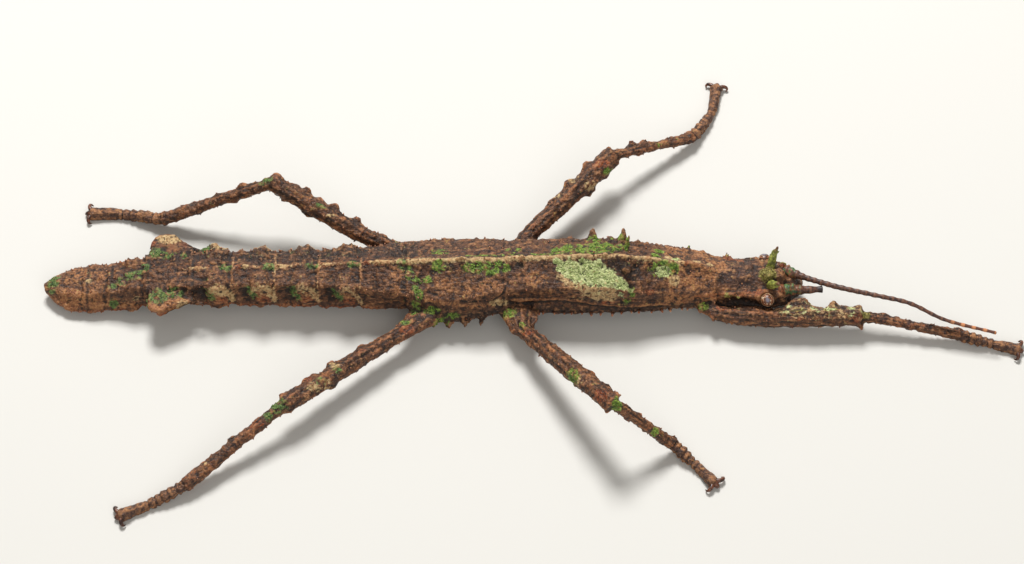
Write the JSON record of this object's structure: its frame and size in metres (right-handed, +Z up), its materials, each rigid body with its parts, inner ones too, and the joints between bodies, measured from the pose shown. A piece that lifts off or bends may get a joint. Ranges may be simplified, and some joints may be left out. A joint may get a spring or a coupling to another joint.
{
  "type": "stick insect",
  "caption": "Life-size wingless stick insect with a ridged, spiny, moss-patterned body, standing low on its feet.",
  "frame": {"origin": "middle of the footprint, at floor level", "axes": "+X towards the head, +Y towards the animal's left, +Z up from the floor"},
  "size_m": [0.1036, 0.0552, 0.009],
  "materials": {
    "abdomen_cuticle": "rough bark brown with green patches",
    "thorax_cuticle": "rough dark brown with pale and green patches",
    "head_cuticle": "rough purple brown",
    "compound_eye": "smooth pale brown",
    "green_horn": "matte yellow green",
    "antenna_cuticle": "matte brown",
    "foot_cuticle": "striped dark brown",
    "leg_cuticle": "rough bark brown"
  },
  "bodies": {
    "root": {"abdomen_10": "abdomen_cuticle", "abdomen_2": "abdomen_cuticle", "abdomen_3": "abdomen_cuticle", "abdomen_4": "abdomen_cuticle", "abdomen_5": "abdomen_cuticle", "abdomen_6": "abdomen_cuticle", "abdomen_7": "abdomen_cuticle", "abdomen_8": "abdomen_cuticle", "abdomen_9": "abdomen_cuticle", "antenna_left": "antenna_cuticle", "antenna_right": "antenna_cuticle", "eye_left": "compound_eye", "eye_right": "compound_eye", "head": "head_cuticle", "horn_left": "green_horn", "horn_right": "green_horn", "leg_fore_left_coxa": "leg_cuticle", "leg_fore_left_femur": "leg_cuticle", "leg_fore_left_tarsus": "foot_cuticle", "leg_fore_left_tibia": "leg_cuticle", "leg_fore_right_coxa": "leg_cuticle", "leg_fore_right_femur": "leg_cuticle", "leg_fore_right_tarsus": "foot_cuticle", "leg_fore_right_tibia": "leg_cuticle", "leg_hind_left_coxa": "leg_cuticle", "leg_hind_left_femur": "leg_cuticle", "leg_hind_left_tarsus": "foot_cuticle", "leg_hind_left_tibia": "leg_cuticle", "leg_hind_right_coxa": "leg_cuticle", "leg_hind_right_femur": "leg_cuticle", "leg_hind_right_tarsus": "foot_cuticle", "leg_hind_right_tibia": "leg_cuticle", "leg_mid_left_coxa": "leg_cuticle", "leg_mid_left_femur": "leg_cuticle", "leg_mid_left_tarsus": "foot_cuticle", "leg_mid_left_tibia": "leg_cuticle", "leg_mid_right_coxa": "leg_cuticle", "leg_mid_right_femur": "leg_cuticle", "leg_mid_right_tarsus": "foot_cuticle", "leg_mid_right_tibia": "leg_cuticle", "mesothorax": "thorax_cuticle", "metathorax": "thorax_cuticle", "prothorax": "thorax_cuticle"}
  },
  "joints": []
}
